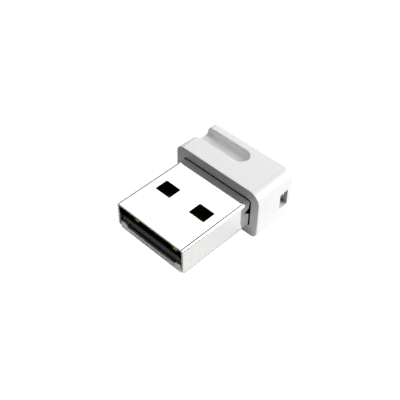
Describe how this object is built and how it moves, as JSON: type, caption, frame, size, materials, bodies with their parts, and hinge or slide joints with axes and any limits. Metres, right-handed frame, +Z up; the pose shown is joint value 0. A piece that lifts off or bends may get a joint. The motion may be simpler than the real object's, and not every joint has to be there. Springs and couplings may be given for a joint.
{
  "type": "usb wifi adapter",
  "caption": "Nano wireless network adapter: a short white cap with a finger groove and strap eyelet on a bare metal USB-A plug, with board, radio chip and printed antenna inside.",
  "frame": {"origin": "middle of the plug's cross-section on the cap's front face, where the plug stops when pushed home", "axes": "+Y from the plug toward the cap, so the plug points to -Y; +Z up, toward the finger groove and the plug's contact cavity; +X to the right seen from the plug's tip, the side with the strap eyelet"},
  "size_m": [0.015, 0.0195, 0.0078],
  "materials": {
    "cap_plastic": "glossy moulded white plastic, very slightly warm",
    "shell_metal": "bright nickel plating on stamped sheet, smooth and reflective",
    "tray_plastic": "satin black moulded plastic",
    "board_laminate": "dark solder mask over glass laminate",
    "contact_gold": "thin hard gold plating",
    "chip_epoxy": "fine-grained black moulding compound",
    "tin_solder": "bright tin and solder",
    "crystal_ceramic": "matt cream ceramic",
    "crystal_metal": "satin plated lid",
    "ferrite": "matt dark grey ferrite",
    "filter_ceramic": "matt blue-grey fired ceramic",
    "antenna_copper": "copper track under thin gold plating",
    "capacitor_ceramic": "matt tan fired ceramic",
    "resistor_coat": "black glass overcoat"
  },
  "bodies": {
    "root": {"housing_cap": "cap_plastic", "usb_shell": "shell_metal", "board_tray": "tray_plastic", "circuit_board": "board_laminate", "contact_vbus": "contact_gold", "contact_data_minus": "contact_gold", "contact_data_plus": "contact_gold", "contact_ground": "contact_gold", "wifi_chip": "chip_epoxy", "wifi_chip_leads": "tin_solder", "crystal_case": "crystal_ceramic", "crystal_lid": "crystal_metal", "inductor_core": "ferrite", "inductor_ends": "tin_solder", "regulator_body": "chip_epoxy", "regulator_leads": "tin_solder", "rf_filter_body": "filter_ceramic", "rf_filter_ends": "tin_solder", "antenna_trace": "antenna_copper", "capacitor_bodies": "capacitor_ceramic", "capacitor_ends": "tin_solder", "resistor_bodies": "resistor_coat", "resistor_ends": "tin_solder", "shell_solder": "tin_solder"}
  },
  "joints": []
}
